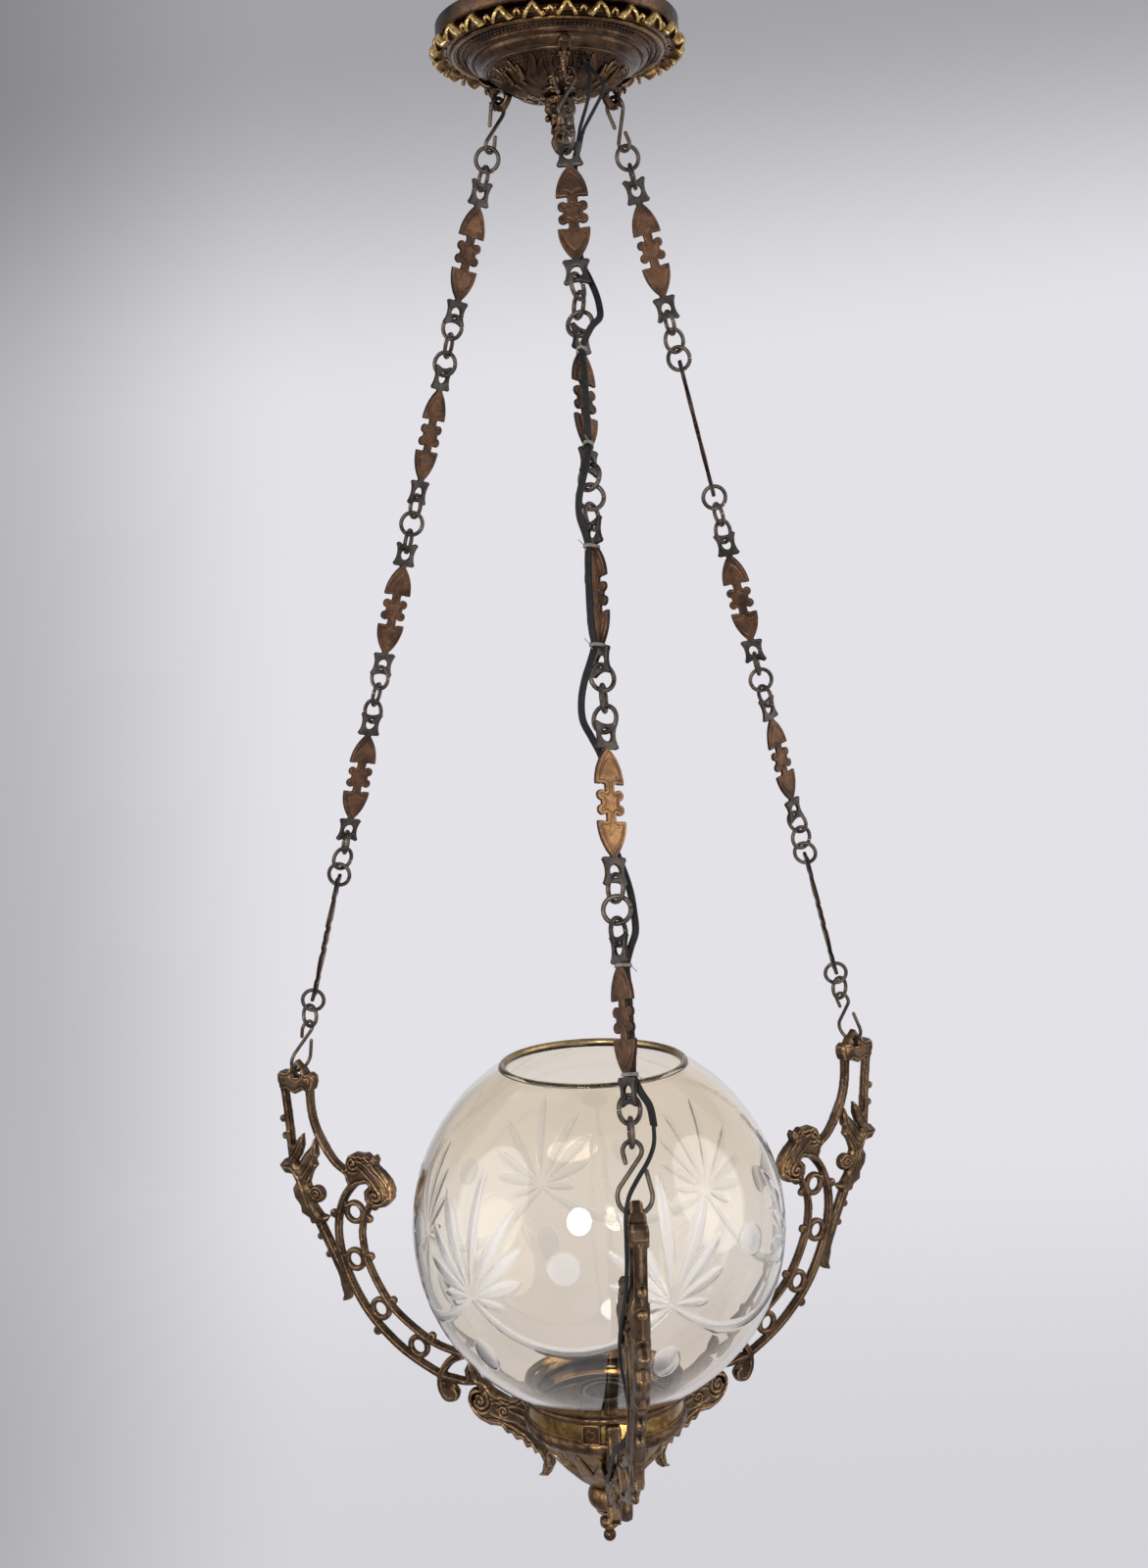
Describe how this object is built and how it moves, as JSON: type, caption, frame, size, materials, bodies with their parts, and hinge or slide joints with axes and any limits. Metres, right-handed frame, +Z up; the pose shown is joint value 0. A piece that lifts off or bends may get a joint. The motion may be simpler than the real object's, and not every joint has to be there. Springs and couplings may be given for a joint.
{
  "type": "ceiling lantern",
  "caption": "Hanging ceiling lantern: a ceiling rose, three pierced link chains and cast scroll arms hold a cut glass globe over a lampholder.",
  "frame": {"origin": "middle of the ceiling plane that the rose and its crossbar lie against", "axes": "+Z up into the ceiling, the front arm points along -Y, +X to the right seen from the front"},
  "size_m": [0.4474, 0.3875, 1.0036],
  "materials": {
    "rose_metal": "aged satin, dark patina",
    "gilt_leaf": "worn gilding over dark patina",
    "patina_bronze": "brown patina, bright where rubbed",
    "wire_iron": "dull grey brown, worn",
    "link_copper": "coppery brown patina",
    "bright_copper": "rubbed copper",
    "gallery_brass": "polished, brown in the hollows",
    "plain_steel": "dull zinc",
    "porcelain": "glazed",
    "cut_glass": "clear with a pale lustre, cut and polished",
    "flex_black": "matt black",
    "string": "twisted thread"
  },
  "bodies": {
    "rose": {"canopy": "rose_metal", "leaf_rim": "gilt_leaf", "bracket_front": "patina_bronze", "bracket_left": "patina_bronze", "bracket_right": "patina_bronze", "pendant_knob": "gilt_leaf", "rose_rod": "plain_steel", "crossbar": "plain_steel", "rose_nut": "plain_steel", "lead_connector": "porcelain", "flex_bush": "flex_black", "flex_entry": "flex_black"},
    "front_hook": {"front_top_hook": "wire_iron", "flex_top": "flex_black"},
    "front_chain": {"front_rings": "wire_iron", "front_link_1": "link_copper", "front_link_2": "link_copper", "front_link_3": "link_copper", "front_link_4": "bright_copper", "front_link_5": "link_copper", "flex_chain": "flex_black", "flex_ties": "string"},
    "front_lower_hook": {"front_bottom_hook": "wire_iron"},
    "cage": {"arm_front": "patina_bronze", "arm_left": "patina_bronze", "arm_right": "patina_bronze", "arm_screws": "gallery_brass", "gallery_ring": "gallery_brass", "gallery_screws": "gallery_brass", "bowl": "gallery_brass", "boss": "gallery_brass", "finial": "gallery_brass", "cage_rod": "plain_steel", "cage_nut": "plain_steel", "lampholder_shell": "gallery_brass", "lampholder_insert": "porcelain", "flex_bottom": "flex_black"},
    "globe_glass": {"globe": "cut_glass"},
    "left_hook": {"left_top_hook": "wire_iron"},
    "left_chain": {"left_rings": "wire_iron", "left_bottom_hook": "wire_iron"},
    "left_link_1_body": {"left_link_1": "link_copper"},
    "left_link_2_body": {"left_link_2": "link_copper"},
    "left_link_3_body": {"left_link_3": "link_copper"},
    "left_link_4_body": {"left_link_4": "link_copper"},
    "left_link_5_body": {"left_link_5": "link_copper"},
    "right_hook": {"right_top_hook": "wire_iron"},
    "right_chain": {"right_rings": "wire_iron", "right_bottom_hook": "wire_iron"},
    "right_link_1_body": {"right_link_1": "link_copper"},
    "right_link_2_body": {"right_link_2": "link_copper"},
    "right_link_3_body": {"right_link_3": "link_copper"},
    "right_link_4_body": {"right_link_4": "link_copper"},
    "right_link_5_body": {"right_link_5": "link_copper"}
  },
  "joints": [
    {"name": "swing_fore_aft", "type": "hinge", "parent": "rose", "child": "front_hook", "pos_m": [0, -0.04222, -0.03874], "axis": [1, 0, 0], "range_deg": [-4, 4]},
    {"name": "swing_sideways", "type": "hinge", "parent": "front_hook", "child": "front_chain", "pos_m": [0, -0.05149, -0.06995], "axis": [0, 1, 0], "range_deg": [-4, 4]},
    {"name": "front_hook_turn", "type": "hinge", "parent": "front_chain", "child": "front_lower_hook", "pos_m": [0, -0.22625, -0.65852], "axis": [0, 1, 0], "range_deg": [-1.5, 1.5]},
    {"name": "cage_level", "type": "hinge", "parent": "front_lower_hook", "child": "cage", "pos_m": [0, -0.2368, -0.69404], "axis": [1, 0, 0], "range_deg": [-1.5, 1.5]},
    {"name": "left_chain_fore_aft", "type": "hinge", "parent": "rose", "child": "left_hook", "pos_m": [-0.03656, 0.02111, -0.03874], "axis": [1, 0, 0], "range_deg": [-4.2, 4.2]},
    {"name": "left_chain_sideways", "type": "hinge", "parent": "left_hook", "child": "left_chain", "pos_m": [-0.04459, 0.02574, -0.06995], "axis": [0, 1, 0], "range_deg": [-4.2, 4.2]},
    {"name": "left_link_1_swivel", "type": "hinge", "parent": "left_chain", "child": "left_link_1_body", "pos_m": [-0.06084, 0.03513, -0.13314], "axis": [0.2465, -0.1423, 0.9586], "range_deg": [-8, 8]},
    {"name": "left_link_2_swivel", "type": "hinge", "parent": "left_chain", "child": "left_link_2_body", "pos_m": [-0.09053, 0.05226, -0.24859], "axis": [0.2465, -0.1423, 0.9586], "range_deg": [-8, 8]},
    {"name": "left_link_3_swivel", "type": "hinge", "parent": "left_chain", "child": "left_link_3_body", "pos_m": [-0.12021, 0.06941, -0.36404], "axis": [0.2465, -0.1423, 0.9586], "range_deg": [-8, 8]},
    {"name": "left_link_4_swivel", "type": "hinge", "parent": "left_chain", "child": "left_link_4_body", "pos_m": [-0.1499, 0.08655, -0.47949], "axis": [0.2465, -0.1423, 0.9586], "range_deg": [-8, 8]},
    {"name": "left_link_5_swivel", "type": "hinge", "parent": "left_chain", "child": "left_link_5_body", "pos_m": [-0.17959, 0.10369, -0.59494], "axis": [0.2465, -0.1423, 0.9586], "range_deg": [-8, 8]},
    {"name": "right_chain_fore_aft", "type": "hinge", "parent": "rose", "child": "right_hook", "pos_m": [0.03656, 0.02111, -0.03874], "axis": [1, 0, 0], "range_deg": [-4.2, 4.2]},
    {"name": "right_chain_sideways", "type": "hinge", "parent": "right_hook", "child": "right_chain", "pos_m": [0.04459, 0.02574, -0.06995], "axis": [0, 1, 0], "range_deg": [-4.2, 4.2]},
    {"name": "right_link_1_swivel", "type": "hinge", "parent": "right_chain", "child": "right_link_1_body", "pos_m": [0.06084, 0.03513, -0.13314], "axis": [-0.2465, -0.1423, 0.9586], "range_deg": [-8, 8]},
    {"name": "right_link_2_swivel", "type": "hinge", "parent": "right_chain", "child": "right_link_2_body", "pos_m": [0.09053, 0.05226, -0.24859], "axis": [-0.2465, -0.1423, 0.9586], "range_deg": [-8, 8]},
    {"name": "right_link_3_swivel", "type": "hinge", "parent": "right_chain", "child": "right_link_3_body", "pos_m": [0.12021, 0.06941, -0.36404], "axis": [-0.2465, -0.1423, 0.9586], "range_deg": [-8, 8]},
    {"name": "right_link_4_swivel", "type": "hinge", "parent": "right_chain", "child": "right_link_4_body", "pos_m": [0.1499, 0.08655, -0.47949], "axis": [-0.2465, -0.1423, 0.9586], "range_deg": [-8, 8]},
    {"name": "right_link_5_swivel", "type": "hinge", "parent": "right_chain", "child": "right_link_5_body", "pos_m": [0.17959, 0.10369, -0.59494], "axis": [-0.2465, -0.1423, 0.9586], "range_deg": [-8, 8]},
    {"name": "globe_lift", "type": "slide", "parent": "cage", "child": "globe_glass", "axis": [0, 0, 1], "range_m": [0, 0.06]}
  ],
  "couplings": [
    {"joint": "front_hook_turn", "follows": "swing_sideways", "ratio": -0.2276},
    {"joint": "cage_level", "follows": "swing_fore_aft", "ratio": -0.1783},
    {"joint": "left_chain_fore_aft", "follows": "swing_fore_aft", "ratio": 1},
    {"joint": "left_chain_sideways", "follows": "swing_sideways", "ratio": 0.987},
    {"joint": "right_chain_fore_aft", "follows": "swing_fore_aft", "ratio": 1},
    {"joint": "right_chain_sideways", "follows": "swing_sideways", "ratio": 0.987}
  ]
}
